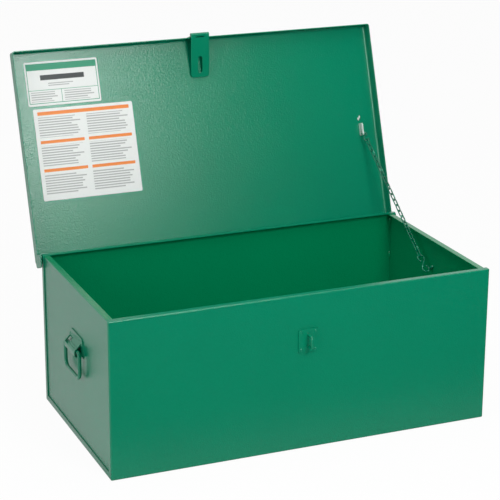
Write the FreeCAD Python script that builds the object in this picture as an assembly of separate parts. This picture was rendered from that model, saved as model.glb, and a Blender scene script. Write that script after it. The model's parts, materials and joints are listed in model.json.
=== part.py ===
import FreeCAD, Part
import math
import os

# Steel tool chest with an open lid held back by a chain.
# Millimetres, +Z up, X along the length, front of the chest towards -Y.
# Origin: centre of the bottom face. The lid is modelled shut, then turned open about its hinge.

Vector = FreeCAD.Vector
X_AXIS = Vector(1, 0, 0)
Y_AXIS = Vector(0, 1, 0)
Z_AXIS = Vector(0, 0, 1)

# Chest body
box_length = 762.0
box_depth = 406.4
box_height = 304.8
sheet = 1.9
bend_radius = 2.8
rim_flange = 12.7
end_flange = 12.7
panel_side_gap = 0.2
weld_leg = 4.0
weld_length = 15.0
weld_drops = [18.8, 94.8, 176.8, 256.8]

# Lid
lid_open_angle = 109.0
lid_gap_side = 3.1
lid_gap_front = 4.0
lid_gap_back = 2.5
lid_gap_top = 0.4
lid_lip = 25.0

# Continuous hinge on the back
hinge_end_margin = 11.0
hinge_knuckle_pairs = 15
hinge_knuckle_radius = 4.4
hinge_knuckle_gap = 0.4
hinge_pin_radius = 2.2
hinge_leaf_sheet = 1.6
hinge_leaf_width = 24.0
hinge_wall_gap = 0.4
running_gap = 0.06

# Hasp on the lid's front lip
lock_x = 3.0
hasp_width = 39.0
hasp_sheet = 2.5
hasp_reach = 87.0
hasp_corner = 7.0
hasp_slot_length = 35.0
hasp_slot_width = 9.5
hasp_slot_centre = 61.0
hasp_knuckle_radius = 4.0
hasp_middle_knuckle = 17.6
hasp_knuckle_gap = 0.3
hasp_pin_radius = 2.0
hasp_leaf_height = 17.0
hasp_lip_gap = 1.0

# Staple on the body's front
staple_plate_width = 39.0
staple_plate_height = 45.0
staple_plate_sheet = 2.5
staple_plate_corner = 2.0
staple_wire_radius = 2.8
staple_loop_height = 28.0
staple_loop_reach = 20.5
staple_bend = 7.0
rivet_head_radius = 2.6
rivet_head_height = 1.1
rivet_inset = 5.0

# Drop handles on both ends
handle_centre_y = -12.0
handle_rim_drop = 87.8
handle_axis_drop = 25.6
handle_axis_out = 9.0
handle_plate_width = 78.0
handle_plate_sheet = 2.0
handle_plate_corner = 12.0
handle_hood_length = 62.0
handle_hood_radius = 6.6
handle_hood_sheet = 2.2
bail_rod_radius = 3.5
bail_width = 81.0
bail_drop = 48.0
bail_top_bend = 8.0
bail_bottom_bend = 15.0
handle_rivet_radius = 3.6
handle_rivet_height = 1.6

# Chain between the lid and the right end panel
chain_link_count = 21
chain_wire_radius = 1.2
chain_link_width = 9.6
chain_play = 0.7
chain_roll = 17.0
quarter_turn = 90.0
chain_group_sizes = [4, 4, 4, 4, 5]
hook_wire_radius = 1.6
top_hook_length = 22.0
top_hook_loop = 5.2
s_hook_length = 38.8
s_hook_loop = 7.0
hook_opening = 1.2
tab_side_margin = 37.0
tab_sheet = 3.0
tab_from_hinge = 192.0
tab_hole_height = 10.4
tab_round = 6.2
tab_foot = 26.0
tab_hole_play = 0.7
wall_eye_panel_gap = 15.2
wall_eye_back_margin = 195.2
wall_eye_rim_drop = 68.8
wall_eye_wire_radius = 2.2
wall_eye_width = 14.0
wall_eye_bend = 2.64
wall_eye_gap = 0.5

# Blank cards on the inside of the lid
card_sheet = 0.4
upper_card_side_margin = 25.5
upper_card_front_margin = 21.6
upper_card_width = 150.0
upper_card_height = 87.0
lower_card_side_margin = 33.0
lower_card_front_margin = 114.6
lower_card_width = 205.0
lower_card_height = 181.0
card_corner = 3.0

# Places worked out from the sizes above
half_length = box_length / 2
half_depth = box_depth / 2
lid_half_length = half_length + lid_gap_side + sheet
lid_front_y = -half_depth - lid_gap_front - sheet
lid_back_y = half_depth + lid_gap_back + sheet
lid_under_z = box_height + lid_gap_top
lid_top_z = lid_under_z + sheet
lip_bottom_z = lid_top_z - lid_lip
hinge_y = half_depth + hinge_wall_gap + hinge_knuckle_radius
hinge_z = lip_bottom_z
hinge_clear = hinge_knuckle_radius + hinge_knuckle_gap
hinge_centre = Vector(0, hinge_y, hinge_z)
panel_outer_x = half_length - sheet
panel_inner_x = panel_outer_x - sheet
hinge_length = box_length - 2 * hinge_end_margin
handle_plate_top = box_height - handle_rim_drop
handle_axis_z = handle_plate_top - handle_axis_drop
tab_x = lid_half_length - tab_side_margin
wall_eye_x = panel_inner_x - wall_eye_panel_gap
wall_eye_y = half_depth - wall_eye_back_margin
wall_eye_z = box_height - wall_eye_rim_drop


def box(x0, x1, y0, y1, z0, z1):
    """Box between two corners."""
    return Part.makeBox(x1 - x0, y1 - y0, z1 - z0, Vector(x0, y0, z0))


def rod(start, end, radius):
    """Straight round rod between two points."""
    along = end.sub(start)
    return Part.makeCylinder(radius, along.Length, start, along)


def fuse_all(shapes):
    """One solid from several touching ones."""
    return shapes[0].multiFuse(shapes[1:]).removeSplitter()


def rounded(shape, radius, wanted):
    """Fillet every edge for which wanted(edge) is true."""
    edges = [edge for edge in shape.Edges if wanted(edge)]
    return shape.makeFillet(radius, edges)


def runs_along(edge, axis):
    """True for a straight edge parallel to an axis."""
    first = edge.Vertexes[0].Point
    last = edge.Vertexes[-1].Point
    return last.sub(first).cross(axis).Length < 1e-6


def near(value, target):
    """True where two lengths are the same."""
    return abs(value - target) < 1e-4


def arc_rod(centre, first, axis, angle, radius):
    """Round rod bent about a centre, from the point first, through an angle in degrees."""
    arm = first.sub(centre)
    turn = FreeCAD.Rotation(axis, angle)
    half_turn = FreeCAD.Rotation(axis, angle / 2)
    middle = centre.add(half_turn.multVec(arm))
    last = centre.add(turn.multVec(arm))
    path = Part.Wire([Part.Arc(first, middle, last).toShape()])
    start_direction = axis.cross(arm)
    section = Part.Wire([Part.makeCircle(radius, first, start_direction)])
    return path.makePipeShell([section], True, False)


def bent_rod(points, bends, radius, closed=False):
    """Round rod along a line of points, with a bend radius at each inner point."""
    count = len(points)
    corners = range(count) if closed else range(1, count - 1)
    pieces = []
    leave = {}
    arrive = {}
    for index in corners:
        here = points[index]
        back = points[index - 1].sub(here).normalize()
        ahead = points[(index + 1) % count].sub(here).normalize()
        turn = math.pi - back.getAngle(ahead)
        cut = bends[index] * math.tan(turn / 2)
        arrive[index] = here.add(back * cut)
        leave[index] = here.add(ahead * cut)
        axis = back.negative().cross(ahead).normalize()
        centre = arrive[index].add(axis.cross(back.negative()) * bends[index])
        pieces.append(arc_rod(centre, arrive[index], axis, math.degrees(turn), radius))
    runs = range(count) if closed else range(count - 1)
    for index in runs:
        following = (index + 1) % count
        start = leave.get(index, points[index])
        end = arrive.get(following, points[following])
        if end.sub(start).Length > 0.01:
            pieces.append(rod(start, end, radius))
    return fuse_all(pieces)


def opened(shape):
    """Turn a piece of the shut lid to the open rest pose."""
    turned = shape.copy()
    turned.rotate(hinge_centre, X_AXIS, -lid_open_angle)
    return turned


def opened_point(point):
    """Turn a point of the shut lid to the open rest pose."""
    turn = FreeCAD.Rotation(X_AXIS, -lid_open_angle)
    return hinge_centre.add(turn.multVec(point.sub(hinge_centre)))


def mirrored(shape):
    """The same piece on the other end of the chest."""
    return shape.mirror(Vector(0, 0, 0), X_AXIS)


# Body: one sheet bent round front, bottom and back
def make_body_wrap():
    shell = box(-half_length, half_length, -half_depth, half_depth, 0, box_height)
    hollow = box(-panel_outer_x, panel_outer_x, sheet - half_depth, half_depth - sheet,
                 sheet, box_height + sheet)
    window_y = half_depth - end_flange
    window = box(-box_length, box_length, -window_y, window_y, end_flange, box_height + sheet)
    shell = shell.cut(hollow.fuse(window))
    front_rim = box(-half_length, half_length, -half_depth, rim_flange - half_depth,
                    box_height - sheet, box_height)
    back_rim = box(-half_length, half_length, half_depth - rim_flange, half_depth,
                   box_height - sheet, box_height)
    shell = fuse_all([shell, front_rim, back_rim])

    def is_bend(edge):
        centre = edge.CenterOfMass
        at_end = near(abs(centre.x), half_length)
        at_side = near(abs(centre.y), half_depth)
        if runs_along(edge, Z_AXIS):
            return at_end and at_side
        if runs_along(edge, X_AXIS):
            return at_side and (near(centre.z, 0) or near(centre.z, box_height))
        return at_end and near(centre.z, 0)

    return rounded(shell, bend_radius, is_bend)


# End panels: flat plates behind the end flanges, each with its own turned-in rim
def make_end_panel():
    side = half_depth - sheet - panel_side_gap
    rim_top = box_height - sheet
    plate = box(panel_inner_x, panel_outer_x, -side, side, sheet, rim_top)
    rim = box(panel_outer_x - rim_flange, panel_outer_x, -side, side, rim_top - sheet, rim_top)
    panel = fuse_all([plate, rim])

    def is_bend(edge):
        centre = edge.CenterOfMass
        return runs_along(edge, Y_AXIS) and near(centre.x, panel_outer_x) and near(centre.z, rim_top)

    return rounded(panel, bend_radius, is_bend)


# Short fillet welds in the four upright inner corners
def make_corner_welds():
    corner_y = half_depth - sheet
    beads = []
    for side_x in (-1, 1):
        for side_y in (-1, 1):
            corner = Vector(side_x * panel_inner_x, side_y * corner_y, 0)
            room = box(min(0, side_x * panel_inner_x), max(0, side_x * panel_inner_x),
                       min(0, side_y * corner_y), max(0, side_y * corner_y), 0, box_height)
            for drop in weld_drops:
                middle = box_height - drop
                low = corner.add(Vector(0, 0, middle - weld_length / 2 + weld_leg))
                high = corner.add(Vector(0, 0, middle + weld_length / 2 - weld_leg))
                ends = [Part.makeSphere(weld_leg, low), Part.makeSphere(weld_leg, high)]
                bead = fuse_all([rod(low, high, weld_leg)] + ends)
                beads.append(bead.common(room))
    return Part.makeCompound(beads)


# Lid: a shallow pan that fits over the rim
def make_lid_pan():
    block = box(-lid_half_length, lid_half_length, lid_front_y, lid_back_y, lip_bottom_z, lid_top_z)

    def is_bend(edge):
        centre = edge.CenterOfMass
        if runs_along(edge, Z_AXIS):
            return True
        return near(centre.z, lid_top_z)

    block = rounded(block, bend_radius, is_bend)
    hollow_x = lid_half_length - sheet
    hollow = box(-hollow_x, hollow_x, lid_front_y + sheet, lid_back_y - sheet,
                 lip_bottom_z - sheet, lid_under_z)
    # The back lip is cut back for the hinge knuckles.
    relief = box(-hollow_x, hollow_x, lid_back_y - 2 * sheet, lid_back_y + sheet,
                 lip_bottom_z - sheet, hinge_z + hinge_clear)
    return block.cut(hollow.fuse(relief))


# Continuous hinge: two leaves with alternate knuckles round one pin
def knuckle_spans(first):
    """Start and end of every second knuckle, from the given one."""
    pitch = hinge_length / (2 * hinge_knuckle_pairs)
    spans = []
    for index in range(first, 2 * hinge_knuckle_pairs, 2):
        start = index * pitch - hinge_length / 2 + hinge_knuckle_gap / 2
        spans.append((start, start + pitch - hinge_knuckle_gap))
    return spans


def make_hinge_leaf(plate, tongue_low, tongue_high, first):
    """A leaf: its plate, with a tongue and a barrel at each of its knuckles."""
    inner_y = plate.BoundBox.YMin
    outer_y = plate.BoundBox.YMax
    pieces = [plate]
    for start, end in knuckle_spans(first):
        pieces.append(box(start, end, inner_y, outer_y, tongue_low, tongue_high))
        pieces.append(rod(Vector(start, hinge_y, hinge_z), Vector(end, hinge_y, hinge_z),
                          hinge_knuckle_radius))
    leaf = fuse_all(pieces)
    half = hinge_length / 2 + sheet
    bore = rod(Vector(-half, hinge_y, hinge_z), Vector(half, hinge_y, hinge_z),
               hinge_pin_radius + running_gap)
    return leaf.cut(bore)


def make_hinge_body_leaf():
    plate_top = hinge_z - hinge_clear
    plate = box(-hinge_length / 2, hinge_length / 2, half_depth, half_depth + hinge_leaf_sheet,
                hinge_z - hinge_leaf_width, plate_top)
    return make_hinge_leaf(plate, plate_top - sheet, hinge_z, 0)


def make_hinge_lid_leaf():
    plate_bottom = hinge_z + hinge_clear
    plate_top = min(hinge_z + hinge_leaf_width, lid_top_z - bend_radius)
    plate = box(-hinge_length / 2, hinge_length / 2, lid_back_y, lid_back_y + hinge_leaf_sheet,
                plate_bottom, plate_top)
    return make_hinge_leaf(plate, hinge_z, plate_bottom + sheet, 1)


def make_hinge_pin():
    half = hinge_length / 2
    return rod(Vector(-half, hinge_y, hinge_z), Vector(half, hinge_y, hinge_z), hinge_pin_radius)


# Hasp: fixed leaf outside the lid's front lip, swinging plate and pin
hasp_axis_y = lid_front_y - hasp_knuckle_radius
hasp_axis_z = lip_bottom_z - hasp_knuckle_radius - hasp_lip_gap
hasp_axis = Vector(lock_x, hasp_axis_y, hasp_axis_z)
hasp_axis_open = opened_point(hasp_axis)
hasp_middle_half = hasp_middle_knuckle / 2


def make_hasp_leaf():
    leaf_outer_y = lid_front_y - hasp_sheet
    plate = box(lock_x - hasp_width / 2, lock_x + hasp_width / 2, leaf_outer_y, lid_front_y,
                lip_bottom_z, lip_bottom_z + hasp_leaf_height)
    tongue = box(lock_x - hasp_middle_half, lock_x + hasp_middle_half, leaf_outer_y,
                 lid_front_y, hasp_axis_z, lip_bottom_z + sheet)
    side = Vector(hasp_middle_half, 0, 0)
    barrel = rod(hasp_axis.sub(side), hasp_axis.add(side), hasp_knuckle_radius)
    leaf = fuse_all([plate, tongue, barrel])
    bore_side = Vector(hasp_width, 0, 0)
    bore = rod(hasp_axis.sub(bore_side), hasp_axis.add(bore_side), hasp_pin_radius + running_gap)
    return opened(leaf.cut(bore))


def make_hasp_plate():
    centre = hasp_axis_open
    front_y = centre.y - hasp_knuckle_radius
    back_y = front_y + hasp_sheet
    left_x = lock_x - hasp_width / 2
    right_x = lock_x + hasp_width / 2
    bottom_z = centre.z - hasp_reach
    neck_z = centre.z - hasp_knuckle_radius - hasp_lip_gap
    plate = box(left_x, right_x, front_y, back_y, bottom_z, neck_z)

    def is_corner(edge):
        return runs_along(edge, Y_AXIS) and near(edge.CenterOfMass.z, bottom_z)

    plate = rounded(plate, hasp_corner, is_corner)
    slot_half = hasp_slot_width / 2
    slot_z = centre.z - hasp_slot_centre
    slot_run = hasp_slot_length / 2 - slot_half
    slot = box(lock_x - slot_half, lock_x + slot_half, front_y - sheet, back_y + sheet,
               slot_z - slot_run, slot_z + slot_run)
    for end_z in (slot_z - slot_run, slot_z + slot_run):
        slot = slot.fuse(rod(Vector(lock_x, front_y - sheet, end_z),
                             Vector(lock_x, back_y + sheet, end_z), slot_half))
    pieces = [plate.cut(slot)]
    inner_x = hasp_middle_half + hasp_knuckle_gap
    for start, end in ((left_x, lock_x - inner_x), (lock_x + inner_x, right_x)):
        pieces.append(box(start, end, front_y, back_y, neck_z - sheet, centre.z))
        pieces.append(rod(Vector(start, centre.y, centre.z), Vector(end, centre.y, centre.z),
                          hasp_knuckle_radius))
    hasp = fuse_all(pieces)
    bore_side = Vector(hasp_width, 0, 0)
    bore = rod(centre.sub(bore_side), centre.add(bore_side), hasp_pin_radius + running_gap)
    return hasp.cut(bore)


def make_hasp_pin():
    side = Vector(hasp_width / 2, 0, 0)
    return rod(hasp_axis_open.sub(side), hasp_axis_open.add(side), hasp_pin_radius)


# Staple: backing plate, bent loop and four rivets
staple_face_y = -half_depth - staple_plate_sheet
staple_centre_z = hasp_axis_z - hasp_slot_centre


def make_staple_plate():
    plate = box(lock_x - staple_plate_width / 2, lock_x + staple_plate_width / 2,
                staple_face_y, -half_depth, staple_centre_z - staple_plate_height / 2,
                staple_centre_z + staple_plate_height / 2)
    return rounded(plate, staple_plate_corner, lambda edge: runs_along(edge, Y_AXIS))


def make_staple_loop():
    leg = staple_loop_height / 2 - staple_wire_radius
    reach_y = staple_face_y - staple_loop_reach + staple_wire_radius
    points = [Vector(lock_x, staple_face_y, staple_centre_z + leg),
              Vector(lock_x, reach_y, staple_centre_z + leg),
              Vector(lock_x, reach_y, staple_centre_z - leg),
              Vector(lock_x, staple_face_y, staple_centre_z - leg)]
    return bent_rod(points, [0, staple_bend, staple_bend, 0], staple_wire_radius)


def dome(centre, outward, radius, height):
    """Low round head on a flat face."""
    ball_radius = (radius * radius + height * height) / (2 * height)
    ball = Part.makeSphere(ball_radius, centre.sub(outward * (ball_radius - height)))
    keep = Part.makeCylinder(radius * 2, height * 2, centre, outward)
    return ball.common(keep)


def make_staple_rivets():
    heads = []
    for side_x in (-1, 1):
        for side_z in (-1, 1):
            place = Vector(lock_x + side_x * (staple_plate_width / 2 - rivet_inset), staple_face_y,
                           staple_centre_z + side_z * (staple_plate_height / 2 - rivet_inset))
            heads.append(dome(place, Vector(0, -1, 0), rivet_head_radius, rivet_head_height))
    return Part.makeCompound(heads)


# Drop handle on the right end: pressed mount with a hood, bail and two rivets
def make_handle_mount():
    axis_x = panel_outer_x + handle_axis_out
    slope = math.sqrt(0.5)
    outer = handle_hood_radius
    inner = handle_hood_radius - handle_hood_sheet
    face_x = panel_outer_x + handle_plate_sheet
    bottom_z = handle_axis_z - outer
    half_width = handle_plate_width / 2
    plate = box(panel_outer_x, face_x, handle_centre_y - half_width, handle_centre_y + half_width,
                bottom_z, handle_plate_top)

    def is_top_corner(edge):
        return runs_along(edge, X_AXIS) and near(edge.CenterOfMass.z, handle_plate_top)

    plate = rounded(plate, handle_plate_corner, is_top_corner)

    def hood_section(radius, back_x, low_z, start_y, length):
        """Barrel with a slope of 45 degrees up to the plate."""
        touch = Vector(axis_x + radius * slope, start_y, handle_axis_z + radius * slope)
        top = Vector(back_x, start_y, touch.z + touch.x - back_x)
        low = Vector(axis_x, start_y, low_z)
        foot = Vector(back_x, start_y, low_z)
        middle = Vector(axis_x + radius * math.cos(math.radians(-22.5)), start_y,
                        handle_axis_z + radius * math.sin(math.radians(-22.5)))
        edges = [Part.makeLine(top, touch), Part.Arc(touch, middle, low).toShape(),
                 Part.makeLine(low, foot), Part.makeLine(foot, top)]
        return Part.Face(Part.Wire(edges)).extrude(Vector(0, length, 0))

    start_y = handle_centre_y - handle_hood_length / 2
    hood = hood_section(outer, panel_outer_x, bottom_z, start_y, handle_hood_length)
    cavity = hood_section(inner, face_x, handle_axis_z - inner, start_y - sheet,
                          handle_hood_length + 2 * sheet)
    return fuse_all([plate, hood]).cut(cavity)


def make_handle_bail():
    x = panel_outer_x + handle_axis_out
    left_y = handle_centre_y - bail_width / 2
    right_y = handle_centre_y + bail_width / 2
    low_z = handle_axis_z - bail_drop
    points = [Vector(x, left_y, handle_axis_z), Vector(x, right_y, handle_axis_z),
              Vector(x, right_y, low_z), Vector(x, left_y, low_z)]
    bends = [bail_top_bend, bail_top_bend, bail_bottom_bend, bail_bottom_bend]
    return bent_rod(points, bends, bail_rod_radius, closed=True)


def make_handle_rivets():
    face_x = panel_outer_x + handle_plate_sheet
    offset = (handle_plate_width + handle_hood_length) / 4
    level = handle_plate_top - handle_plate_corner
    heads = []
    for side in (-1, 1):
        place = Vector(face_x, handle_centre_y + side * offset, level)
        heads.append(dome(place, X_AXIS, handle_rivet_radius, handle_rivet_height))
    return Part.makeCompound(heads)


# Chain: tab on the lid, hooks, links and an eye on the right end panel
tab_hole = opened_point(Vector(tab_x, hinge_y - tab_from_hinge, lid_under_z - tab_hole_height))
wall_eye = Vector(wall_eye_x, wall_eye_y, wall_eye_z)
chain_span = wall_eye.sub(tab_hole).Length
chain_way = wall_eye.sub(tab_hole).normalize()
chain_side = X_AXIS.sub(chain_way * chain_way.dot(X_AXIS)).normalize()
chain_normal = chain_way.cross(chain_side)
chain_pitch = (chain_span - top_hook_length - s_hook_length + 2 * hook_wire_radius
               + chain_play) / chain_link_count


def on_chain(along, side=0.0):
    """A point at a distance along the taut chain, and to its side."""
    return tab_hole.add(chain_way * along).add(chain_side * side)


def make_chain_lid_tab():
    """Ear on the lid with a hole for the top hook, modelled with the lid shut."""
    hole = Vector(tab_x, hinge_y - tab_from_hinge, lid_under_z - tab_hole_height)
    left_x = tab_x - tab_sheet / 2
    right_x = tab_x + tab_sheet / 2
    foot_y = hole.y + tab_round - tab_foot
    foot = box(left_x, right_x, foot_y, hole.y + tab_round, hole.z, lid_under_z)
    end = rod(Vector(left_x, hole.y, hole.z), Vector(right_x, hole.y, hole.z), tab_round)
    ear = fuse_all([foot, end])
    slope_cut = Part.makePolygon([Vector(left_x - sheet, foot_y - sheet, lid_under_z - sheet),
                                  Vector(left_x - sheet, hole.y - tab_round, hole.z - sheet),
                                  Vector(left_x - sheet, foot_y - sheet, hole.z - sheet),
                                  Vector(left_x - sheet, foot_y - sheet, lid_under_z - sheet)])
    wedge = Part.Face(slope_cut).extrude(Vector(tab_sheet + 2 * sheet, 0, 0))
    ear = ear.cut(wedge)
    bore = rod(Vector(left_x - sheet, hole.y, hole.z), Vector(right_x + sheet, hole.y, hole.z),
               hook_wire_radius + tab_hole_play)
    return opened(ear.cut(bore))


def make_hook(start, length, loop_radius):
    """Flat S-hook with its two loops in the plane of the chain and the X axis."""
    centre_distance = length - 2 * loop_radius
    lean = math.asin(2 * loop_radius / centre_distance)
    pieces = []
    shank_ends = []
    for sign, along in ((1, start + loop_radius), (-1, start + length - loop_radius)):
        centre = on_chain(along)
        away = chain_way * -sign
        beside = chain_side * sign
        # The shank leaves this loop where the inner tangent touches it.
        touch = centre.add(beside * (loop_radius * math.cos(lean)))
        touch = touch.sub(away * (loop_radius * math.sin(lean)))
        gap_angle = math.degrees((hook_opening + 2 * hook_wire_radius) / loop_radius)
        sweep = 360 - gap_angle - math.degrees(lean)
        arm = touch.sub(centre)
        # Turn from the shank over the far side of the loop.
        axis = beside.cross(away).normalize()
        pieces.append(arc_rod(centre, centre.add(arm), axis, sweep, hook_wire_radius))
        shank_ends.append(touch)
    pieces.append(rod(shank_ends[0], shank_ends[1], hook_wire_radius))
    return fuse_all(pieces)


def chain_frame(along, roll):
    """Placement on the chain: local Z down the chain, local X turned by roll from the side."""
    turned = math.radians(roll)
    across = chain_side * math.cos(turned) + chain_normal * math.sin(turned)
    turn = FreeCAD.Rotation(across, chain_way.cross(across), chain_way, "ZXY")
    return FreeCAD.Placement(tab_hole.add(chain_way * along), turn)


def make_link():
    """One oval link in the XZ plane, its upper end at the origin."""
    length = chain_pitch + chain_play + 4 * chain_wire_radius
    bend = chain_link_width / 2 - chain_wire_radius
    top = Vector(0, 0, bend + chain_wire_radius)
    bottom = Vector(0, 0, length - bend - chain_wire_radius)
    arm = X_AXIS * bend
    axis = Y_AXIS.negative()
    pieces = [arc_rod(top, top.sub(arm), axis, 180, chain_wire_radius),
              arc_rod(bottom, bottom.add(arm), axis, 180, chain_wire_radius),
              rod(top.add(arm), bottom.add(arm), chain_wire_radius),
              rod(top.sub(arm), bottom.sub(arm), chain_wire_radius)]
    return fuse_all(pieces)


def link_pivot(index):
    """Where a link turns on the end of the link above it."""
    first = top_hook_length - hook_wire_radius + chain_wire_radius
    return on_chain(first + index * chain_pitch)


s_hook_start = chain_span - s_hook_length


def make_chain_wall_eye():
    """Staple on the end panel that the lower hook hangs from."""
    crown_x = wall_eye_x + s_hook_loop + hook_wire_radius + wall_eye_gap + wall_eye_wire_radius
    seat = on_chain(chain_span - s_hook_loop)
    across = chain_normal * (wall_eye_width / 2 - wall_eye_wire_radius)
    level = Vector(crown_x, seat.y, seat.z)
    root = Vector(panel_inner_x, seat.y, seat.z)
    points = [root.add(across), level.add(across), level.sub(across), root.sub(across)]
    return bent_rod(points, [0, wall_eye_bend, wall_eye_bend, 0], wall_eye_wire_radius)


# Cards on the inside face of the lid
def make_card(side_margin, front_margin, width, height):
    left_x = side_margin - lid_half_length
    front_y = lid_front_y + front_margin
    card = box(left_x, left_x + width, front_y, front_y + height,
               lid_under_z - card_sheet, lid_under_z)
    return opened(rounded(card, card_corner, lambda edge: runs_along(edge, Z_AXIS)))


os.makedirs("parts", exist_ok=True)

nodes = {
    "body_wrap": make_body_wrap(),
    "corner_welds": make_corner_welds(),
    "lid_pan": opened(make_lid_pan()),
    "hinge_body_leaf": make_hinge_body_leaf(),
    "hinge_lid_leaf": opened(make_hinge_lid_leaf()),
    "hinge_pin": make_hinge_pin(),
    "hasp_leaf": make_hasp_leaf(),
    "hasp_plate": make_hasp_plate(),
    "hasp_pin": make_hasp_pin(),
    "staple_plate": make_staple_plate(),
    "staple_loop": make_staple_loop(),
    "staple_rivets": make_staple_rivets(),
    "chain_lid_tab": make_chain_lid_tab(),
    "chain_top_hook": make_hook(0.0, top_hook_length, top_hook_loop),
    "chain_s_hook": make_hook(s_hook_start, s_hook_length, s_hook_loop),
    "chain_wall_eye": make_chain_wall_eye(),
    "label_upper": make_card(upper_card_side_margin, upper_card_front_margin, upper_card_width,
                             upper_card_height),
    "label_lower": make_card(lower_card_side_margin, lower_card_front_margin, lower_card_width,
                             lower_card_height),
}

for side_name, place in (("right", lambda shape: shape), ("left", mirrored)):
    nodes["end_panel_" + side_name] = place(make_end_panel())
    nodes["handle_" + side_name + "_mount"] = place(make_handle_mount())
    nodes["handle_" + side_name + "_bail"] = place(make_handle_bail())
    nodes["handle_" + side_name + "_rivets"] = place(make_handle_rivets())

link = make_link()
first_link = top_hook_length - hook_wire_radius - 2 * chain_wire_radius - chain_play
next_link = 0
for group, size in enumerate(chain_group_sizes, start=1):
    links = []
    for index in range(next_link, next_link + size):
        placed = link.copy()
        roll = chain_roll + quarter_turn * ((index + 1) % 2)
        placed.Placement = chain_frame(first_link + index * chain_pitch, roll)
        links.append(placed)
    nodes["chain_links_%d" % group] = Part.makeCompound(links)
    next_link += size

for name, shape in nodes.items():
    if not shape.isValid():
        print("not valid:", name)
    print(name, "solids", len(shape.Solids), "volume", round(shape.Volume, 1))
    shape.exportStep("parts/" + name + ".step")

print("hinge axis y %.3f z %.3f" % (hinge_y, hinge_z))
print("hasp axis at rest", hasp_axis_open)
print("tab hole", tab_hole, "chain span", chain_span, "link pitch", chain_pitch)
group_first = 0
for size in chain_group_sizes:
    print("chain group pivot", link_pivot(group_first))
    group_first += size
print("s hook pivot", on_chain(s_hook_start))
print("bail axis x", panel_outer_x + handle_axis_out, "z", handle_axis_z)
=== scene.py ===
"""Dress and light the steel tool chest with its lid held open by a chain.

Sizes of its pieces are in millimetres, and the lamps, floor and camera are in metres.
"""

import json
import logging
import math
from dataclasses import dataclass
from enum import Enum
from typing import Callable, Sequence

import bpy
from bpy.types import Material, Node, NodeSocket, Object, World
from mathutils import Matrix, Vector


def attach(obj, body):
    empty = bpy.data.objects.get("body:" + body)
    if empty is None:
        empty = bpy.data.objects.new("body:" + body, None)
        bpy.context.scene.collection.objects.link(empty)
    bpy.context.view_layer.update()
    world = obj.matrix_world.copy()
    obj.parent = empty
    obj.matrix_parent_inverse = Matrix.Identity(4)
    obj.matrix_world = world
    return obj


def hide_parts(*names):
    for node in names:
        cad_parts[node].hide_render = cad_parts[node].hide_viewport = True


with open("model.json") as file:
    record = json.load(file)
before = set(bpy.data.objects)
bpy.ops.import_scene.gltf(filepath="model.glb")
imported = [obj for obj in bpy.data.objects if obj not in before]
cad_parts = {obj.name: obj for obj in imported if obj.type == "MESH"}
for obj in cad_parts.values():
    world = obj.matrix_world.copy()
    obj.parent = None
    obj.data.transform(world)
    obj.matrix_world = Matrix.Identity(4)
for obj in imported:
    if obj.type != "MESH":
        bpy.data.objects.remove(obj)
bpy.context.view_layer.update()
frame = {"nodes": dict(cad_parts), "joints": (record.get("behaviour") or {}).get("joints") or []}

MM = 0.001
SLACK = 0.05
SHEET_EDGE = 0.45
MERGE = 1e-6
ALONG_X, ALONG_Y, ALONG_Z = (1, 0, 0), (0, 1, 0), (0, 0, 1)
WHITE = (1.0, 1.0, 1.0)
log = logging.getLogger("tool_chest")

Test = Callable[[Vector], bool]
Pair = tuple[float, float]
Triple = tuple[float, float, float]
Rgb = Triple
Value = NodeSocket | float | Sequence[float]


class Pick(Enum):
    """What an edit-mode selection is made of."""

    VERT = "vertices"
    EDGE = "edges"
    FACE = "polygons"


# Bench tools
def deselect_all() -> None:
    """Leave nothing selected, in object mode."""
    if bpy.context.object and bpy.context.object.mode != "OBJECT":
        bpy.ops.object.mode_set(mode="OBJECT")
    bpy.ops.object.select_all(action="DESELECT")


def take(obj: Object) -> None:
    """Make one object the selected and active one.

    Args:
        obj: The object.
    """
    deselect_all()
    obj.select_set(True)
    bpy.context.view_layer.objects.active = obj


def named(name: str) -> Object:
    """Name the active object and bring its place into its mesh.

    Args:
        name: The piece's name.

    Returns:
        The active object.
    """
    obj = bpy.context.object
    obj.name = name
    obj.data.name = name
    take(obj)
    bpy.ops.object.transform_apply(location=True, rotation=True, scale=True)
    return obj


def block(name: str, low: Sequence[float], high: Sequence[float]) -> Object:
    """Add a block between two corners given in millimetres.

    Args:
        name: The piece's name.
        low: Lowest corner.
        high: Highest corner.

    Returns:
        The new block, its place in its mesh.
    """
    deselect_all()
    centre = [(a + b) / 2 * MM for a, b in zip(low, high)]
    bpy.ops.mesh.primitive_cube_add(size=1, location=centre)
    bpy.context.object.scale = [(b - a) * MM for a, b in zip(low, high)]
    return named(name)


def edit_all(obj: Object) -> None:
    """Enter edit mode with the whole mesh selected.

    Args:
        obj: The object to edit.
    """
    take(obj)
    bpy.ops.object.mode_set(mode="EDIT")
    bpy.ops.mesh.select_all(action="SELECT")


def done() -> None:
    """Leave edit mode."""
    bpy.ops.object.mode_set(mode="OBJECT")


def pick(obj: Object, kind: Pick, wanted: Test) -> None:
    """Select parts of a mesh by the place of their centre, and stay in edit mode.

    Args:
        obj: The object to edit.
        kind: Whether vertices, edges or faces are picked.
        wanted: Says of a centre, in millimetres, whether the part is picked.
    """
    take(obj)
    bpy.ops.object.mode_set(mode="EDIT")
    bpy.ops.mesh.select_mode(type=kind.name)
    bpy.ops.mesh.select_all(action="DESELECT")
    bpy.ops.object.mode_set(mode="OBJECT")
    mesh = obj.data
    for part in getattr(mesh, kind.value):
        if kind is Pick.VERT:
            centre = part.co
        elif kind is Pick.FACE:
            centre = part.center
        else:
            first, last = part.vertices
            centre = (mesh.vertices[first].co + mesh.vertices[last].co) / 2
        part.select = wanted(centre / MM)
    bpy.ops.object.mode_set(mode="EDIT")


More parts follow.
